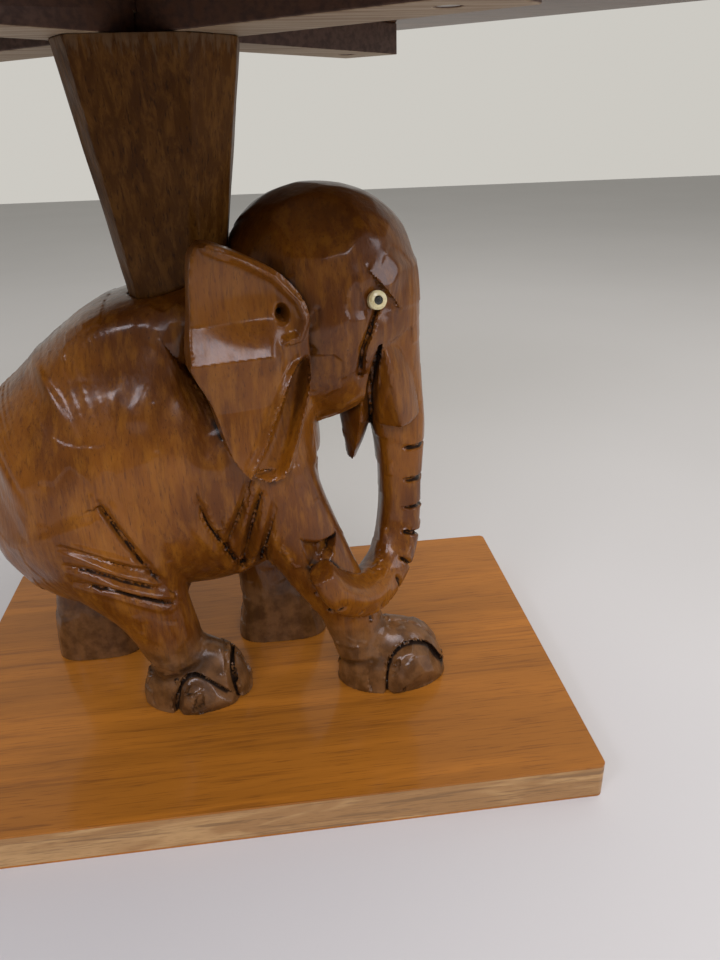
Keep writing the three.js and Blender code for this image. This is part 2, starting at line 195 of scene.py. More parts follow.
# The flat-topped rise that the post is let into.
SADDLE = [(-66, 0, 182, 14, 26), (-50, 0, 194.5, 17, 31), (-34, 0, 199.3, 18, 34), (-22, 0, 201, 18, 34),
          (-11, 0, 204.3, 18, 33), (5, 0, 210, 18, 31), (22, 0, 216, 18, 28)]
CROWN = ((42, 0, 222), (41, 35, 34.5))
HEAD = [(43, 0, 222, 42, 36), (43, 0, 212, 43, 36.5), (43, 0, 202, 43, 37), (48, 0, 184, 38, 33),
        (56, 0, 171, 29, 26)]
TRUNK = [(59, 0, 214, 22, 24), (63.5, 0, 200, 22, 22.5), (67.3, 0, 186, 19, 20.5),
         (72, 0, 168, 15.5, 16), (76, 0, 148, 12.5, 13.5), (77, 0, 122, 10.5, 13),
         (76, -2, 98, 10.5, 12), (71.2, -9, 80.2, 10, 12), (63.8, -18, 72.7, 9.5, 11.5),
         (55.5, -29, 71.6, 9, 11), (47.4, -39, 76.2, 8.5, 10), (39.6, -45.5, 84.5, 7.5, 9),
         (33.8, -48, 95, 6, 7.5)]
JAW = [(60, 0, 186, 5, 20), (58, 0, 174, 8.5, 21), (56.8, 0, 161, 9.8, 19), (56, 0, 151, 7.6, 15),
       (55, 0, 141, 5.2, 10), (53.6, 0, 131, 2.2, 4)]
LEGS = {
    "near_front": [(7, -25, 156, 23, 20), (18, -27, 122, 20.5, 19), (33, -26, 88, 17, 14),
                   (46, -25, 61, 14, 12.5), (53, -25, 38, 14, 13.5)],
    "near_rear": [(-66, -26, 126, 38, 22), (-56, -28, 98, 28, 20), (-46, -28, 72, 18, 16),
                  (-38, -27, 44, 14, 14)],
    "far_front": [(3, 25, 150, 21, 20), (6, 27, 118, 20, 18), (5, 27, 84, 16, 15), (5, 26, 46, 14, 14)],
    "far_rear": [(-74, 26, 122, 34, 22), (-82, 28, 92, 24, 19), (-90, 28, 64, 16, 15), (-91, 26, 44, 14, 14)],
}
FEET = {"near_front": (68, -25, 28, 18.5), "near_rear": (-31, -25, 27, 18),
        "far_front": (13, 25, 26, 17.5), "far_rear": (-87, 25, 24, 17.5)}
FOOT_RISE = 33
TUSK = [(65, -15, 198, 6, 12), (68.5, -16, 184, 9.5, 12.5), (71.5, -15.5, 168, 10.5, 12),
        (74, -14.5, 155, 10, 10.5)]
# The deep hollow that parts the cheek and jaw from the tusk's sheath.
RECESS = [(64.5, -30, 193, 0.8, 4), (62.6, -29, 184, 1.8, 8), (61.2, -28, 172, 2.8, 12),
          (61.6, -27, 160, 3.4, 13), (63.8, -27, 148, 4, 13)]
EYE = np.array([63.0, -33.0, 213.0])
EYE_NORMAL = np.array([0.2, -0.96, 0.18]) / np.linalg.norm([0.2, -0.96, 0.18])

EAR_OUTLINE = [(-5.5, 241), (7.5, 236), (20.5, 228.5), (29.5, 218.5), (32.5, 210), (32, 200), (31.8, 190),
               (29.5, 177), (26, 165), (21.5, 152), (14, 145), (4, 147.5), (-4, 158), (-9.5, 180),
               (-16, 196.5), (-13, 218), (-11, 234)]
EAR_HINGE = (36.0, -34.0)
EAR_TURN = math.radians(14)
FAR_EAR_DROP = 9
EAR_RIM = [(-5, 239), (7.2, 233.6), (19.8, 226.2), (28.6, 216), (30.6, 209.5), (28, 203), (22.8, 202)]
# The two ridges down the ear's front, as x at each height, with a gouged channel between them.
EAR_HEIGHTS = [145, 153, 162, 171, 178, 183, 189, 194]
REAR_RIDGE = [0, 3.5, 9.4, 13.4, 17, 20, 23.4, 28]
FRONT_RIDGE = [14, 18.5, 22.6, 26, 28.4, 30, 31.5, 32.4]


def ear_relief(u, z):
    """How far the ear's face stands out from its plate."""
    rim = 2.6 * hump(line_distance(u, z, EAR_RIM)[0], 3.2)
    dish = -3.6 * hump(np.hypot((u - 12) / 1.35, z - 221), 22)
    shelf = 6.4 * np.clip((211 - z) / 13.5, 0, 1) - 5.0 * np.clip((197.5 - z) / 20, 0, 1)
    shelf = shelf * ramp(u, 25, 15)
    flare = 5.0 * np.clip((190 - z) / 40, 0, 1)
    rear = np.interp(z, EAR_HEIGHTS, REAR_RIDGE)
    front = np.interp(z, EAR_HEIGHTS, FRONT_RIDGE)
    span = ramp(z, 196, 190) * ramp(z, 144, 150)
    across = np.clip((u - rear) / (front - rear), 0, 1)
    ridges = 2.8 * hump(np.abs(u - rear), 3.8) + 2.2 * hump(np.abs(u - front), 2.8)
    channel = -5.6 * np.clip(4 * across * (1 - across), 0, 1) ** 0.7
    pit = -8 * hump(np.hypot(u - 22, (z - 212) / 1.3), 3.6)
    lip = -1.6 * ramp(z, 149.5, 148.5)
    return rim + dish + shelf + flare + (ridges + channel) * span + pit + lip


def ear(points):
    q = near_side(points)
    c, s = math.cos(EAR_TURN), math.sin(EAR_TURN)
    x, y = q[:, 0] - EAR_HINGE[0], q[:, 1] - EAR_HINGE[1]
    z = q[:, 2] + np.where(points[:, 1] > 0, FAR_EAR_DROP, 0)
    u = EAR_HINGE[0] + x * c + y * s
    out_from_head = x * s - y * c
    near = (np.abs(u - 10) < 42) & (np.abs(z - 192) < 64) & (np.abs(out_from_head - 4) < 26)
    u, z, depth = u[near], z[near], out_from_head[near]
    face = 8.6 + ear_relief(u, z)
    out = np.full(len(points), FAR)
    out[near] = cut(outline_distance(u, z, rounded(EAR_OUTLINE)), np.maximum(depth - face, -1.5 - depth), 0.8)
    return out


BROW_LINE = ((60.4, 224.8), (70.5, 212))
TEAR = [(63.4, 209), (60.6, 202), (56.5, 193), (55.5, 181)]
# Flats left on the head by the carver: a point on each, its facing, and how soft its edge is.
HEAD_PLANES = [
    ((38, -19, 249.5), (-0.05, -0.80, 0.60), 0.8),
    ((42, -33.4, 230), (0.0, -0.985, 0.17), 1.2),
    ((44, -29.6, 238), (-0.04, -0.89, 0.45), 0.6),
    ((26, -34.0, 232), (-0.5, -0.84, 0.2), 1.0),
]
BROW_PLANE = ((68.0, -30.0, 223), (0.46, -0.80, 0.36), 0.4)


def head(points):
    """The skull with its planed crown, temples, brow ledge and eye hollow."""
    q = near_side(points)
    d = blend(limb(q, HEAD), ellipsoid(q, *CROWN), 3)
    for through, facing, softness in HEAD_PLANES:
        d = cut(d, plane(q, through, facing), softness)
    x, z = q[:, 0], q[:, 2]
    (x0, z0), (x1, z1) = BROW_LINE
    length = math.hypot(x1 - x0, z1 - z0)
    above = ((x - x0) * (z0 - z1) + (z - z0) * (x1 - x0)) / length
    hollow = hump(np.hypot(x - 64, z - 211), 17) * ramp(above, 0.3, -0.9)
    brow = hump(np.hypot(x - 67, z - 222), 12) * ramp(above, -0.6, 0.5)
    d = d + 2.8 * hollow - 3.0 * brow
    d = cut(d, plane(q, *BROW_PLANE[:2]), BROW_PLANE[2])
    distance, share, side = line_distance(x, z, TEAR)
    flange = hump(distance, 9) * ramp(side * distance, -0.6, 0.6)
    flange = flange * ramp(share, 0.05, 0.4) * ramp(share, 1.0, 0.9)
    return d + 2.4 * hump(distance, 2.2) - 1.8 * flange


def gouge(points, line, depth, width, side=-1, step=0.0, reach=12.0):
    """A tapering V cut with raised lips along a line drawn on one side of the carving, in (x, z).
    step lowers the surface on the line's left, easing back over reach."""
    facing = points[:, 1] * side > 12
    out = np.zeros(len(points))
    distance, share, left = line_distance(points[facing, 0], points[facing, 2], smooth_path(line, 4))
    swell = np.sqrt(np.clip(4 * share * (1 - share), 0, 1)) * 0.6 + 0.4 * share
    trench = depth * np.clip(1 - distance / width, 0, 1) - 0.25 * depth * hump(distance - 1.3 * width, width)
    fall = step * hump(distance, reach) * ramp(left * distance, -0.7, 0.7)
    out[facing] = swell * trench + fall * ramp(share, 0, 0.35) * ramp(share, 1.0, 0.97)
    return out


THIGH_CUTS = [
    [(-78, 120), (-61, 112.2), (-43, 101)],
    [(-77, 110), (-58.5, 103), (-39.5, 91)],
    [(-75, 100.5), (-56, 94.5), (-35.5, 81.5)],
]
FLANK_CUT = [(-56.6, 138), (-50.7, 123.5), (-42.8, 105), (-33, 83)]
SHOULDER_CUT = [(-4, 90), (-9.6, 107), (-16.2, 126), (-17.4, 145.5)]
ARMPIT_CUTS = [
    [(6.5, 145), (0, 127), (-8.4, 107)],
    [(11.4, 143), (4.5, 119), (-2.6, 90)],
    [(16.7, 135), (10.9, 112), (5.7, 88)],
]
SHOULDER_RIDGE = [(-14, 207), (-26, 192), (-37, 176)]
SHOULDER_HOLLOW = [(-6, 196), (-12, 180), (-8, 160)]


def body_cuts(points):
    total = np.zeros(len(points))
    for side in (-1, 1):
        for line in THIGH_CUTS:
            total += gouge(points, line, 3.6, 2.4, side)
        for line in ARMPIT_CUTS:
            total += gouge(points, line, 3.8, 2.8, side)
        total += gouge(points, FLANK_CUT[::-1], 3.4, 3.0, side, 2.4)
        total += gouge(points, SHOULDER_CUT[::-1], 3.2, 3.2, side, 2.8, 14)
    return total


def shoulder(points):
    """The ridge over the shoulder blade, and the hollow between it and the ear."""
    outer = ramp(np.abs(points[:, 1]), 12, 34)
    ridge = hump(line_distance(points[:, 0], points[:, 2], SHOULDER_RIDGE)[0], 12)
    hollow = hump(line_distance(points[:, 0], points[:, 2], SHOULDER_HOLLOW)[0], 12)
    return outer * (2.6 * hollow - 2.2 * ridge)


# The rings across the trunk, by how many stations down it they are.
TRUNK_RINGS = [4.4, 5.08, 5.65, 6.38, 7.2, 8.05, 9.05, 10.0, 10.8]


def trunk_rings(points):
    path = smooth_path(TRUNK, 20)
    total = np.zeros(len(points))
    for place in TRUNK_RINGS:
        i = int(place * 20)
        centre = path[i, :3]
        tangent = path[i + 1, :3] - path[i - 1, :3]
        tangent /= np.linalg.norm(tangent)
        v = points - centre
        close = np.linalg.norm(v, axis=1) < path[i, 3:].max() + 5
        v = v[close]
        across = np.array([0, 1.0, 0]) - tangent[1] * tangent
        across /= np.linalg.norm(across)
        up = np.cross(across, tangent)
        outer = ramp(-(v @ up), -1.5, 2.5)
        total[close] += 2.6 * outer * np.clip(1 - np.abs(v @ tangent) / 1.5, 0, 1)
    return total


# A pocket cut into the near front leg above the trunk's tip, in (x, z).
LEG_POCKET = [(24.5, 112), (33.7, 108), (42, 108.5), (40.5, 98), (35, 92), (28.5, 96)]


def leg_pocket(points):
    near = (points[:, 1] < -12) & (points[:, 0] > 10) & (points[:, 2] > 80) & (points[:, 2] < 125)
    out = np.zeros(len(points))
    depth = -outline_distance(points[near, 0], points[near, 2], LEG_POCKET)
    out[near] = np.clip(depth * 1.6, 0, 6.5)
    return out


def foot(points, name):
    """The near feet are domed; the far ones were left as rough blocks."""
    x, y, rx, ry = FEET[name]
    if name.startswith("near"):
        return ellipsoid(points, (x, y, BASE_TOP), (rx, ry, FOOT_RISE))
    return limb(points, [(x - 3, y + 1, 62, 14, 13), (x - 1, y, 42, 20, 16), (x, y, 16, rx - 1, ry)], 3.2)


# Toenails: for each foot, arcs on its outer face as (x, z) lines, cut into it.
NAILS = {
    "near_front": [[(63.4, 14), (65, 33), (72, 41), (84, 38), (93, 24)]],
    "near_rear": [[(-40.5, 14), (-39.5, 27), (-33, 37), (-25, 34), (-17, 26), (-8, 17)],
                  [(-13.5, 44), (-13, 33), (-11, 20)]],
}


def nails(points):
    total = np.zeros(len(points))
    for name, lines in NAILS.items():
        low = (points[:, 2] < 52) & (np.abs(points[:, 0] - FEET[name][0]) < 34) & (points[:, 1] < -20)
        part = np.zeros(low.sum())
        for line in lines:
            distance = line_distance(points[low, 0], points[low, 2], smooth_path(line, 4))[0]
            part = np.maximum(part, 3.4 * np.clip(1 - distance / 2.3, 0, 1))
        within = -outline_distance(points[low, 0], points[low, 2], lines[0])
        total[low] = part - 1.8 * ramp(within, 0.5, 7)
    return total


def form(points):
    """The whole carving as a signed distance."""
    d = blend(limb(points, BODY), ellipsoid(points, *RUMP), 8)
    d = blend(d, limb(points, SADDLE, 3.0), 10)
    d = blend(d, limb(points, NECK), 8) + shoulder(points)
    d = cut(d, plane(points, *CHEST_PLANE), 2.0)
    for stations in LEGS.values():
        d = blend(d, limb(points, stations), 5)
    d = d + body_cuts(points) + leg_pocket(points)
    d = blend(d, head(points), 3)
    d = blend(d, limb(points, JAW, 1.25), 1.0)
    d = blend(d, limb(points, TRUNK, 3.0), 0.8 + 4 * ramp(points[:, 2], 150, 185))
    d = blend(d, limb(near_side(points), TUSK, 1.25), 0.8)
    d = cut(d, -limb(near_side(points), RECESS), 0.8)
    for name in FEET:
        d = blend(d, foot(points, name), 5)
    d = d + trunk_rings(points) + nails(points)
    d = blend(d, ear(points), 1.5)
    socket = np.maximum(np.linalg.norm(np.cross(near_side(points) - EYE, EYE_NORMAL), axis=1) - 4.0,
                        -plane(near_side(points), EYE - 3 * EYE_NORMAL, EYE_NORMAL))
    d = cut(d, -socket, 0.4)
    d = cut(d, -post_blank(points, 0.3), 0.4)
    return cut(d, BASE_TOP - points[:, 2], 0.4)


# ---------------------------------------------------------------- the post

POST_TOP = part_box("post")[1].z / MM
POST_TOP_HALF = 36.0
POST_FOOT = 212.0
POST_FOOT_HALF = 20.5
SEAT_SLOPE = math.radians(16)
SEAT = 217.5
POST_CORNERS = [(-0.62, -1), (0.55, -1), (1, -0.52), (1, 0.5), (0.55, 1), (-0.5, 1), (-0.86, 0.5),
                (-0.86, -0.56)]


def post_sides(points):
    """One distance for each of the post's eight tapering sides."""
    axis_x = -BASE_CENTRE_X
    half = POST_FOOT_HALF + (POST_TOP_HALF - POST_FOOT_HALF) * np.clip(
        (points[:, 2] - POST_FOOT) / (POST_TOP - POST_FOOT), 0, 1.2)
    out = []
    for a, b in zip(POST_CORNERS, np.roll(POST_CORNERS, -1, 0)):
        normal = np.array([b[1] - a[1], a[0] - b[0]])
        normal /= np.linalg.norm(normal)
        offset = (normal[0] * a[0] + normal[1] * a[1]) * half
        out.append((points[:, 0] - axis_x) * normal[0] + points[:, 1] * normal[1] - offset)
    return out


def seat_plane(points):
    return plane(points, (-BASE_CENTRE_X, 0, SEAT), (math.sin(SEAT_SLOPE), 0, -math.cos(SEAT_SLOPE)))


def post_blank(points, grow):
    """The room that the post takes above its seat."""
    near = points[:, 2] > POST_FOOT - 25
    out = np.full(len(points), FAR)
    p = points[near]
    sides = np.max(post_sides(p), axis=0) - grow
    out[near] = np.maximum(sides, seat_plane(p) - grow)
    return out


def post_form(points):
    sides = post_sides(points)
    d = sides[0]
    for side in sides[1:]:
        d = cut(d, side, 2.2)
    d = cut(d, points[:, 2] - POST_TOP, 0.4)
    return cut(d, seat_plane(points), 0.8)


# ---------------------------------------------------------------- surface from a distance

def surface(field, low, high, step):
    """Surface nets: vertices and quads of the field's zero, worked out only near the surface."""
    low = np.array(low, float)
    coarse = step * 4
    n = np.ceil((np.array(high, float) - low) / coarse).astype(int) + 1
    axes = [low[k] + coarse * np.arange(n[k]) for k in range(3)]
    rough = field(np.stack(np.meshgrid(*axes, indexing="ij"), -1).reshape(-1, 3)).reshape(n)
    near = np.abs(rough) < coarse * 2.4
    cell = np.zeros(n - 1, bool)
    for corner in np.ndindex(2, 2, 2):
        cell |= near[tuple(slice(c, n[k] - 1 + c) for k, c in enumerate(corner))]
    fine = (n - 1) * 4 + 1
    mask = np.zeros(fine, bool)
    for corner in np.ndindex(5, 5, 5):
        mask[tuple(slice(c, fine[k] - 4 + c, 4) for k, c in enumerate(corner))] |= cell
    pick = [np.minimum((np.arange(m) + 2) // 4, n[k] - 1) for k, m in enumerate(fine)]
    values = rough[np.ix_(*pick)].astype(np.float32)
    index = np.argwhere(mask)
    for part in np.array_split(np.arange(len(index)), max(1, len(index) // 400000)):
        values[tuple(index[part].T)] = field(low + index[part] * step)
    return nets(values, low, step)


def nets(values, low, step):
    inside = values < 0
    n = np.array(values.shape) - 1
    count = np.zeros(n, np.int8)
    for corner in np.ndindex(2, 2, 2):
        count += inside[tuple(slice(c, n[k] + c) for k, c in enumerate(corner))]
    cells = np.argwhere((count > 0) & (count < 8))
    total = np.zeros((len(cells), 3))
    hits = np.zeros(len(cells))
    for corner in np.ndindex(2, 2, 2):
        for axis in range(3):
            if corner[axis]:
                continue
            other = np.array(corner) + np.eye(3, dtype=int)[axis]
            va = values[tuple((cells + corner).T)].astype(float)
            vb = values[tuple((cells + other).T)].astype(float)
            crossing = (va < 0) != (vb < 0)
            t = np.where(crossing, va / np.where(crossing, va - vb, 1), 0)
            total += np.where(crossing[:, None], np.array(corner) + t[:, None] * np.eye(3)[axis], 0)
            hits += crossing
    vertices = low + (cells + total / hits[:, None]) * step
    number = np.full(n, -1)
    number[tuple(cells.T)] = np.arange(len(cells))
    quads = []
    for axis in range(3):
        others = [(axis + 1) % 3, (axis + 2) % 3]
        a = inside[tuple(slice(0, -1) if k == axis else slice(1, -1) for k in range(3))]
        b = inside[tuple(slice(1, None) if k == axis else slice(1, -1) for k in range(3))]
        edges = np.argwhere(a != b)
        outward = a[tuple(edges.T)]
        edges[:, others] += 1
        around = []
        for back in ((1, 1), (0, 1), (0, 0), (1, 0)):
            cell = edges.copy()
            cell[:, others] -= back
            around.append(number[tuple(cell.T)])
        quad = np.stack(around, 1)
        quad[~outward] = quad[~outward][:, ::-1]
        quads.append(quad)
    return vertices, np.vstack(quads)


def normals_of(vertices, quads):
    a, b, c, d = (vertices[quads[:, k]] for k in range(4))
    face = np.cross(c - a, d - b)
    out = np.zeros_like(vertices)
    for k in range(4):
        for axis in range(3):
            out[:, axis] += np.bincount(quads[:, k], face[:, axis], len(vertices))
    return out / (np.linalg.norm(out, axis=1, keepdims=True) + 1e-12)


def settle(vertices, quads, field, rounds=2):
    """Moves each vertex along its normal on to the exact surface."""
    for _ in range(rounds):
        move = np.clip(field(vertices), -0.6, 0.6)
        vertices = vertices - normals_of(vertices, quads) * move[:, None]
    return vertices


def chisel(vertices, normals, size, seed, most):
    """How far each vertex moves out, at most, to lie on the nearest flat left by the chisel."""
    rng = np.random.default_rng(seed)
    order = rng.permutation(len(vertices))
    cells = np.floor(vertices[order] / size).astype(int)
    low = cells.min(0) - 1
    shape = cells.max(0) - low + 2
    table = np.full(shape, -1)
    table[tuple((cells - low).T)] = order
    mine = np.floor(vertices / size).astype(int) - low
    best = np.full(len(vertices), -1e9)
    for offset in np.ndindex(3, 3, 3):
        seed_of = table[tuple((mine + np.array(offset) - 1).T)]
        away = vertices - vertices[seed_of]
        flat = normals[seed_of]
        facing = (seed_of >= 0) & ((flat * normals).sum(1) > 0.7)
        facing &= np.linalg.norm(away, axis=1) < 1.7 * size
        best = np.where(facing, np.maximum(best, (away * flat).sum(1)), best)
    return np.clip(-np.where(best < -1e8, 0, best), -most / 2, most)


def ripple(points, scale, seed):
    """A smooth random wave over space, about -1 to 1."""
    rng = np.random.default_rng(seed)
    total = np.zeros(len(points))
    for _ in range(10):
        direction = rng.normal(size=3)
        direction *= rng.uniform(0.6, 1.5) / np.linalg.norm(direction)
        total += np.sin(points @ direction * 2 * math.pi / scale + rng.uniform(0, 2 * math.pi))
    return total / 4


# ---------------------------------------------------------------- meshes

def add_carved(name, vertices, quads, shades, sharp=40):
    mesh = bpy.data.meshes.new(name)
    co = (vertices + np.array([BASE_CENTRE_X, 0, 0])) * MM
    mesh.vertices.add(len(co))
    mesh.vertices.foreach_set("co", co.ravel())
    mesh.loops.add(quads.size)
    mesh.loops.foreach_set("vertex_index", quads.ravel())
    mesh.polygons.add(len(quads))
    mesh.polygons.foreach_set("loop_start", np.arange(0, quads.size, 4))
    mesh.update(calc_edges=True)
    for key, values in shades.items():
        attribute = mesh.attributes.new(key, "FLOAT", "POINT")
        attribute.data.foreach_set("value", values.astype(np.float32))
    mesh.polygons.foreach_set("use_smooth", np.ones(len(mesh.polygons), bool))
    mesh.set_sharp_from_angle(angle=math.radians(sharp))
    obj = bpy.data.objects.new(name, mesh)
    bpy.context.scene.collection.objects.link(obj)
    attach(obj, "root")
    return obj


def hollowness(vertices, normals, field, reach):
    """0 on open surface, towards 1 down in a cut, from how much room there is in front of the surface."""
    room = field(vertices + normals * reach) / reach
    return np.clip(1 - room, 0, 1)


def make_elephant():
    vertices, quads = surface(form, (-122, -66, 12), (112, 66, 262), CARVING_STEP)
    vertices = settle(vertices, quads, form)
    normals = normals_of(vertices, quads)
    low_down = ramp(vertices[:, 2], 62, 44)
    move = 0.5 * chisel(vertices, normals, 16, 3, 0.9) * (1 - low_down)
    move += chisel(vertices, normals, 9, 4, 1.3) * low_down
    move += 0.15 * ripple(vertices, 38, 5)
    move *= ramp(vertices[:, 2], BASE_TOP + 0.2, BASE_TOP + 2)
    vertices = vertices + normals * move[:, None]
    normals = normals_of(vertices, quads)
    # How hollow each point lies; the material darkens by these as painted shade.
    shades = {
        "deep": hollowness(vertices, normals, form, 2.5),
        "shelter": hollowness(vertices, normals, form, 9),
    }
    return add_carved("elephant_carved", vertices, quads, shades)


def make_post():
    axis_x = -BASE_CENTRE_X
    reach = POST_TOP_HALF + 4
    vertices, quads = surface(post_form, (axis_x - reach, -reach, POST_FOOT - 12),
                              (axis_x + reach, reach, POST_TOP + 4), POST_STEP)
    vertices = settle(vertices, quads, post_form)
    normals = normals_of(vertices, quads)
    move = chisel(vertices, normals, 15, 7, 0.9) + 0.12 * ripple(vertices, 30, 8)
    move *= ramp(vertices[:, 2], POST_TOP - 0.1, POST_TOP - 2) * ramp(seat_plane(vertices), -0.3, -3)
    vertices = vertices + normals * move[:, None]
    # How hollow each point lies; the material darkens by it as painted shade in the cuts.
    shades = {"deep": hollowness(vertices, normals, post_form, 2.5),
              "shelter": np.zeros(len(vertices))}
    return add_carved("post_carved", vertices, quads, shades)


elephant = make_elephant()
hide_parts("elephant")
post = make_post()
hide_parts("post")


# ---------------------------------------------------------------- materials

class Shader:
    """A material being built from procedural nodes. Sizes are in millimetres, in the object's own frame."""

    def __init__(self, name):
        self.material = bpy.data.materials.new(name)
        self.material.use_nodes = True
        self.tree = self.material.node_tree
        self.surface = self.tree.nodes["Principled BSDF"]
        self.place = self.tree.nodes.new("ShaderNodeTexCoord").outputs["Object"]

    def node(self, kind, inputs=(), **settings):
        made = self.tree.nodes.new("ShaderNode" + kind)
        for key, value in settings.items():
            setattr(made, key, value)
        for key, value in dict(inputs).items():
            self.feed(made.inputs[key], value)
        return made

    def feed(self, socket, value):
        if isinstance(value, bpy.types.NodeSocket):
            self.tree.links.new(value, socket)
        else:
            socket.default_value = value

    def set(self, **values):
        for key, value in values.items():
            self.feed(self.surface.inputs[key.replace("_", " ")], value)

    def stretched(self, size, turn=(0, 0, 0)):
        """Coordinates in which a feature is size millimetres long along each axis."""
        scale = [1 / (s * MM) for s in size]
        return self.node("Mapping", {"Vector": self.place, "Scale": scale, "Rotation": turn}).outputs[0]

    def noise(self, size, detail=3.0, roughness=0.55, distortion=0.0, turn=(0, 0, 0)):
        made = self.node("TexNoise", {"Vector": self.stretched(size, turn), "Scale": 1.0, "Detail": detail,
                                      "Roughness": roughness, "Distortion": distortion})
        return made.outputs["Fac"]

    def between(self, value, low, high, to_low=0.0, to_high=1.0):
        made = self.node("MapRange", {"Value": value, "From Min": low, "From Max": high,
                                      "To Min": to_low, "To Max": to_high}, interpolation_type="SMOOTHSTEP")
        return made.outputs[0]

    def math(self, operation, a, b=0.0):
        made = self.node("Math", operation=operation)
        self.feed(made.inputs[0], a)
        self.feed(made.inputs[1], b)
        return made.outputs[0]

    def mix(self, factor, a, b, blend="MIX"):
        made = self.node("Mix", data_type="RGBA", blend_type=blend)
        self.feed(made.inputs["Factor"], factor)
        self.feed(made.inputs[6], a)
        self.feed(made.inputs[7], b)
        return made.outputs[2]

    def attribute(self, name):
        return self.node("Attribute", attribute_name=name).outputs["Fac"]

    def bump(self, height, strength, distance, under=None):
        inputs = {"Height": height, "Strength": strength, "Distance": distance * MM}
        if under is not None:
            inputs["Normal"] = under
        return self.node("Bump", inputs).outputs[0]


def rgb(red, green, blue):
    return (red, green, blue, 1.0)


def carved_wood():
    """Varnished dark hardwood, its grain upright, duller down in the cuts and darker on the feet, with
    painted shade down in the cuts, in sheltered hollows and towards the top under the table.
    """
    s = Shader("carved_wood")
    patches = s.between(s.noise((48, 48, 70), 3.0, 0.5), 0.38, 0.62)
    streaks = s.noise((1.8, 1.8, 26), 4.0, 0.65, 0.3)
    mottle = s.noise((4.5, 4.5, 20), 4.0, 0.6)
    pores = s.between(s.noise((0.55, 0.55, 5), 2.0, 0.5), 0.6, 0.72)
    wood = s.mix(patches, rgb(0.10, 0.028, 0.002), rgb(0.20, 0.064, 0.004))
    wood = s.mix(s.between(mottle, 0.42, 0.7, 0.0, 0.5), wood, rgb(0.28, 0.105, 0.009))
    wood = s.mix(s.between(streaks, 0.48, 0.7, 0.0, 0.55), wood, rgb(0.07, 0.019, 0.003))
    wood = s.mix(s.math("MULTIPLY", pores, 0.5), wood, rgb(0.03, 0.009, 0.002))
    height = s.node("SeparateXYZ", {"Vector": s.place}).outputs["Z"]
    low = s.between(height, 0.066, 0.046)
    stain = s.between(s.noise((8, 8, 8), 4.0), 0.35, 0.65)
    soiled = s.mix(stain, rgb(0.05, 0.026, 0.011), rgb(0.15, 0.075, 0.03))
    wood = s.mix(s.math("MULTIPLY", low, 0.75), wood, soiled)
    # Painted shade: the top of the carving darkened from 228 mm up, for the table's shadow overhead.
    wood = s.mix(s.between(height, 0.228, 0.256, 0.0, 0.55), wood, rgb(0.04, 0.011, 0.002))
    # Painted shade: sheltered hollows darkened towards a deep brown.
    shelter = s.between(s.attribute("shelter"), 0.42, 1.0, 0.0, 0.6)
    wood = s.mix(shelter, wood, rgb(0.035, 0.011, 0.003))
    # Painted shade: the bottoms of the cuts darkened almost to black.
    deep = s.between(s.attribute("deep"), 0.2, 0.75, 0.0, 0.94)
    wood = s.mix(deep, wood, rgb(0.008, 0.004, 0.002))
    gloss = s.between(s.noise((12, 12, 18), 3.0), 0.3, 0.7, 0.3, 0.46)
    gloss = s.math("MAXIMUM", gloss, s.between(s.attribute("deep"), 0.3, 0.8, 0.0, 0.8))
    s.set(Base_Color=wood, Roughness=gloss, Specular_IOR_Level=0.12, Coat_Weight=0.45)
    s.set(Coat_Roughness=s.between(s.noise((6, 6, 12), 3.0), 0.35, 0.65, 0.09, 0.24))
    under = s.bump(s.noise((0.7, 0.7, 6), 3.0, 0.6), 0.35, 0.22)
    s.set(Normal=s.bump(s.noise((5, 5, 13), 4.0, 0.55), 0.5, 1.0, under))
    return s.material


def post_wood():
    """Dark mottled hardwood with an adzed, slightly torn face."""
    s = Shader("post_wood")
    mottle = s.between(s.noise((4, 4, 13), 5.0, 0.7, 0.5), 0.4, 0.66)
    patches = s.between(s.noise((36, 36, 50), 2.0), 0.35, 0.65)
    wood = s.mix(patches, rgb(0.045, 0.014, 0.001), rgb(0.075, 0.026, 0.002))
    wood = s.mix(s.math("MULTIPLY", mottle, 0.7), wood, rgb(0.15, 0.062, 0.01))
    pores = s.between(s.noise((0.8, 0.8, 5), 2.0, 0.5), 0.58, 0.7)
    wood = s.mix(s.math("MULTIPLY", pores, 0.6), wood, rgb(0.015, 0.005, 0.001))
    # Painted shade: the bottoms of the post's cuts darkened almost to black.
    wood = s.mix(s.between(s.attribute("deep"), 0.15, 0.7, 0.0, 0.9), wood, rgb(0.01, 0.005, 0.003))
    height = s.node("SeparateXYZ", {"Vector": s.place}).outputs["Z"]
    ragged = s.math("MULTIPLY", s.noise((2.2, 2.2, 16), 3.0, 0.7), 0.03)
    torn = s.between(s.math("ADD", height, ragged), 0.317, 0.324, 0.0, 0.55)
    wood = s.mix(torn, wood, rgb(0.14, 0.085, 0.045))
    s.set(Base_Color=wood, Specular_IOR_Level=0.06, Coat_Weight=0.06, Coat_Roughness=0.2)
    s.set(Roughness=s.between(s.noise((12, 12, 16), 3.0), 0.3, 0.7, 0.38, 0.6))
    under = s.bump(s.noise((1.2, 1.2, 5), 3.0, 0.6), 0.4, 0.3)
    s.set(Normal=s.bump(s.noise((9, 9, 16), 3.0, 0.5), 0.5, 1.4, under))
    return s.material


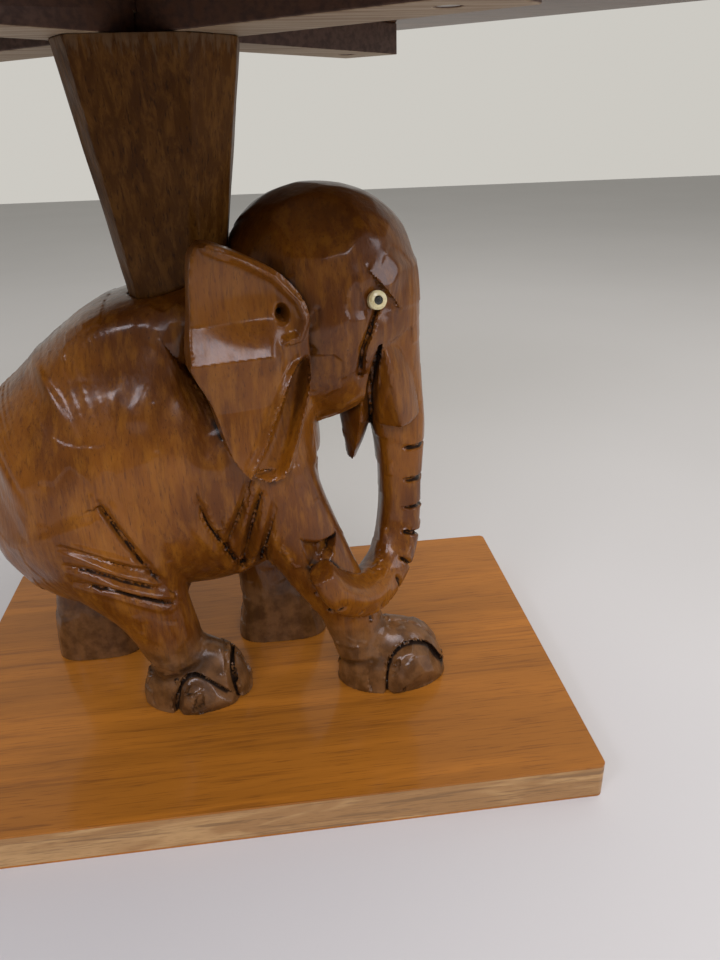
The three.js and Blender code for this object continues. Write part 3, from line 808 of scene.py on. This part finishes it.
def veneer(name, light, dark, turn=(0, 0, 0)):
    """Straight-grained veneer with fine dark streaks, its grain along X in the turned frame."""
    s = Shader(name)
    fine = (22, 0.8, 20)
    broad = (300, 26, 60)
    long = (120, 3.2, 40)
    grain = s.noise(fine, 4.0, 0.65, 0.0, turn)
    figure = s.noise(broad, 3.0, 0.5, 0.8, turn)
    streak = s.between(s.noise(long, 4.0, 0.6, 0.6, turn), 0.5, 0.72)
    wood = s.mix(s.between(figure, 0.36, 0.62), light, [c * 0.74 for c in light[:3]] + [1])
    wood = s.mix(s.math("MULTIPLY", streak, 0.42), wood, dark)
    wood = s.mix(s.between(grain, 0.5, 0.74, 0.0, 0.62), wood, dark)
    s.set(Base_Color=wood, Specular_IOR_Level=0.15, Coat_Weight=0.35, Coat_Roughness=0.12)
    s.set(Roughness=s.between(grain, 0.3, 0.7, 0.34, 0.46))
    s.set(Normal=s.bump(grain, 0.2, 0.08))
    return s.material


def lipping(name, turn=(0, 0, 0)):
    """Light solid wood edging with a broad wavy figure."""
    s = Shader(name)
    wave = s.noise((70, 70, 11), 2.0, 0.5, 1.6, turn)
    line = s.noise((45, 45, 2.6), 3.0, 0.6, 1.0, turn)
    fine = s.noise((7, 7, 0.7), 3.0, 0.6, 0.2, turn)
    wood = s.mix(s.between(wave, 0.36, 0.6), rgb(0.46, 0.27, 0.105), rgb(0.33, 0.17, 0.055))
    wood = s.mix(s.between(line, 0.5, 0.66, 0.0, 0.7), wood, rgb(0.17, 0.085, 0.028))
    wood = s.mix(s.between(fine, 0.5, 0.7, 0.0, 0.35), wood, rgb(0.16, 0.08, 0.025))
    s.set(Base_Color=wood, Roughness=s.between(fine, 0.3, 0.7, 0.42, 0.56))
    s.set(Coat_Weight=0.15, Coat_Roughness=0.25)
    s.set(Normal=s.bump(fine, 0.3, 0.12))
    return s.material


def batten_wood(name, turn):
    """Dark brown sawn batten, its underside paler with painted bounced light."""
    s = Shader(name)
    grain = s.noise((60, 2.4, 2.4), 3.0, 0.55, 0.2, turn)
    saw = s.noise((2.2, 30, 30), 2.0, 0.5, 0.0, turn)
    wood = s.mix(s.between(grain, 0.35, 0.7), rgb(0.07, 0.026, 0.01), rgb(0.038, 0.014, 0.006))
    # Painted bounced light: faces turned down are mixed towards pale beige.
    down = s.node("SeparateXYZ", {"Vector": s.node("NewGeometry").outputs["True Normal"]}).outputs["Z"]
    painted_bounce_light = s.mix(s.between(grain, 0.35, 0.7), rgb(0.40, 0.30, 0.19), rgb(0.26, 0.17, 0.10))
    wood = s.mix(s.between(down, -0.4, -0.8, 0.0, 0.85), wood, painted_bounce_light)
    s.set(Base_Color=wood, Roughness=s.between(grain, 0.3, 0.7, 0.5, 0.7))
    s.set(Normal=s.bump(saw, 0.3, 0.3, s.bump(grain, 0.35, 0.2)))
    return s.material


def plain_wood(name, light, dark):
    s = Shader(name)
    grain = s.noise((4, 4, 4), 5.0, 0.65)
    s.set(Base_Color=s.mix(s.between(grain, 0.35, 0.65), light, dark))
    s.set(Roughness=s.between(grain, 0.3, 0.7, 0.6, 0.8))
    s.set(Normal=s.bump(grain, 0.4, 0.3))
    return s.material


def eye_bone():
    """Polished cream bone with faint growth lines and a little grime."""
    s = Shader("eye_bone")
    cloud = s.noise((2.2, 2.2, 2.2), 4.0, 0.6)
    bone = s.mix(s.between(cloud, 0.35, 0.7), rgb(0.78, 0.70, 0.40), rgb(0.55, 0.44, 0.2))
    s.set(Base_Color=bone, Roughness=s.between(cloud, 0.3, 0.7, 0.32, 0.5))
    s.set(Coat_Weight=0.3, Coat_Roughness=0.1)
    s.set(Normal=s.bump(cloud, 0.25, 0.12))
    return s.material


def pupil():
    s = Shader("pupil")
    cloud = s.noise((1.2, 1.2, 1.2), 3.0)
    s.set(Base_Color=s.mix(cloud, rgb(0.012, 0.014, 0.01), rgb(0.035, 0.036, 0.028)))
    s.set(Roughness=s.between(cloud, 0.3, 0.7, 0.18, 0.34), Coat_Weight=0.5, Coat_Roughness=0.08)
    s.set(Normal=s.bump(cloud, 0.2, 0.08))
    return s.material


def screw_steel():
    s = Shader("screw_steel")
    scratch = s.noise((0.4, 6, 6), 3.0, 0.6)
    spots = s.between(s.noise((2, 2, 2), 3.0), 0.55, 0.75)
    s.set(Base_Color=s.mix(s.math("MULTIPLY", spots, 0.5), rgb(0.58, 0.57, 0.55), rgb(0.30, 0.26, 0.22)))
    s.set(Metallic=1.0, Roughness=s.between(scratch, 0.3, 0.7, 0.28, 0.48))
    s.set(Normal=s.bump(scratch, 0.2, 0.06))
    return s.material


def paint(obj, material):
    obj.data.materials.clear()
    obj.data.materials.append(material)


TOP_TURN = math.radians(-42)
turned = (0, 0, -TOP_TURN)
BASE_LIGHT, BASE_DARK = rgb(0.42, 0.15, 0.016), rgb(0.11, 0.034, 0.006)
# Painted shade: the table's underside is the top veneer in much darker colours, for the shadow under the top.
SHADED_UNDER_LIGHT, SHADED_UNDER_DARK = rgb(0.12, 0.048, 0.016), rgb(0.045, 0.018, 0.008)
base_veneer = veneer("base_veneer", BASE_LIGHT, BASE_DARK)
top_veneer = veneer("table_veneer", BASE_LIGHT, BASE_DARK, turned)
underside = veneer("table_underside", SHADED_UNDER_LIGHT, SHADED_UNDER_DARK, turned)
base_edge = lipping("base_lipping")
top_edge = lipping("table_lipping", turned)
core = plain_wood("board_core", rgb(0.55, 0.42, 0.26), rgb(0.38, 0.26, 0.14))
dowel = plain_wood("dowel_wood", rgb(0.62, 0.45, 0.25), rgb(0.45, 0.3, 0.15))
steel, bone, dark_plug = screw_steel(), eye_bone(), pupil()


def node_material(name):
    if "screw" in name:
        return steel
    if name.startswith("eye_ring"):
        return bone
    if name.startswith("pupil"):
        return dark_plug
    if name == "post_dowel":
        return dowel
    if name == "batten_lower":
        return batten_wood("batten_lower_wood", turned)
    if name == "batten_upper":
        return batten_wood("batten_upper_wood", (0, 0, math.pi / 2 - TOP_TURN))
    if name.endswith("core"):
        return core
    if "lipping" in name:
        return base_edge if name.startswith("base") else top_edge
    if name == "table_bottom_veneer":
        return underside
    return base_veneer if name.startswith("base") else top_veneer


EASED = {"lipping": 0.5, "veneer": 0.35, "batten": 0.8}
for name, node in nodes.items():
    if name in ("elephant", "post"):
        continue
    paint(node, node_material(name))
    weld = node.modifiers.new("weld", "WELD")
    weld.merge_threshold = 0.00002
    for key, width in EASED.items():
        if key in name and "screw" not in name:
            bevel = node.modifiers.new("eased", "BEVEL")
            bevel.width = width * MM
            bevel.segments = 2
            bevel.limit_method = "ANGLE"
            bevel.angle_limit = math.radians(50)
            bevel.harden_normals = True

paint(elephant, carved_wood())
paint(post, post_wood())


# ---------------------------------------------------------------- floor, light and camera

def add_floor():
    mesh = bpy.data.meshes.new("floor")
    half = 3.0
    corners = [(-half, -half, 0), (half, -half, 0), (half, half, 0), (-half, half, 0)]
    mesh.from_pydata(corners, [], [(0, 1, 2, 3)])
    floor = bpy.data.objects.new("floor", mesh)
    bpy.context.scene.collection.objects.link(floor)
    s = Shader("floor")
    s.set(Base_Color=s.mix(s.noise((300, 300, 300), 2.0), rgb(0.56, 0.55, 0.54), rgb(0.61, 0.60, 0.59)))
    s.set(Roughness=0.7)
    paint(floor, s.material)


def add_area(name, place, target, size, watts, colour):
    light = bpy.data.lights.new(name, "AREA")
    light.shape = "RECTANGLE"
    light.size, light.size_y = size
    light.energy = watts
    light.color = colour
    obj = bpy.data.objects.new(name, light)
    obj.location = place
    obj.rotation_mode = "QUATERNION"
    obj.rotation_quaternion = (Vector(target) - Vector(place)).to_track_quat("-Z", "Y")
    bpy.context.scene.collection.objects.link(obj)


def add_world():
    """A pale wall behind the object, and a dimmer, warmer room in front of it."""
    world = bpy.data.worlds.new("room")
    bpy.context.scene.world = world
    world.use_nodes = True
    tree = world.node_tree
    background = tree.nodes["Background"]
    split = tree.nodes.new("ShaderNodeSeparateXYZ")
    tree.links.new(tree.nodes.new("ShaderNodeTexCoord").outputs["Generated"], split.inputs[0])
    behind = tree.nodes.new("ShaderNodeMapRange")
    behind.interpolation_type = "SMOOTHSTEP"
    behind.inputs["From Min"].default_value = -0.3
    behind.inputs["From Max"].default_value = 0.5
    behind.inputs["To Min"].default_value = 0.16
    behind.inputs["To Max"].default_value = 0.62
    tree.links.new(split.outputs["Y"], behind.inputs["Value"])
    tree.links.new(behind.outputs[0], background.inputs["Strength"])
    background.inputs["Color"].default_value = (0.98, 0.95, 0.88, 1)


CAMERA_PLACE = (0.0399, -0.340, 0.2809)
CAMERA_LENS = 28.66
CAMERA_DOWN = math.radians(25.57)
CAMERA_ROLL = math.radians(1.75)
CAMERA_YAW = math.radians(6.28)


def add_camera():
    data = bpy.data.cameras.new("camera")
    data.lens = CAMERA_LENS
    data.clip_start = 0.01
    camera = bpy.data.objects.new("camera", data)
    bpy.context.scene.collection.objects.link(camera)
    turn = Matrix.Rotation(-CAMERA_YAW, 3, "Z") @ Matrix.Rotation(math.pi / 2 - CAMERA_DOWN, 3, "X")
    turn = turn @ Matrix.Rotation(-CAMERA_ROLL, 3, "Z")
    camera.matrix_world = Matrix.Translation(CAMERA_PLACE) @ turn.to_4x4()
    bpy.context.scene.camera = camera


add_floor()
add_world()
add_area("window", (0.09, -1.03, 0.97), (0, 0, 0.19), (1.1, 0.35), 12, (0.92, 0.90, 1.0))
add_area("left_window", (-0.75, -0.85, 1.0), (0, 0, 0.19), (0.35, 0.35), 4, (0.92, 0.90, 1.0))
add_area("side_window", (1.3, -0.55, 0.55), (0, 0, 0.17), (0.5, 0.8), 6, (0.90, 0.90, 1.0))
add_area("ceiling", (0.5, 0.2, 1.5), (0, 0, 0.1), (1.2, 0.8), 8, (1.0, 0.96, 0.88))
add_camera()
bpy.context.scene.view_settings.view_transform = "Standard"
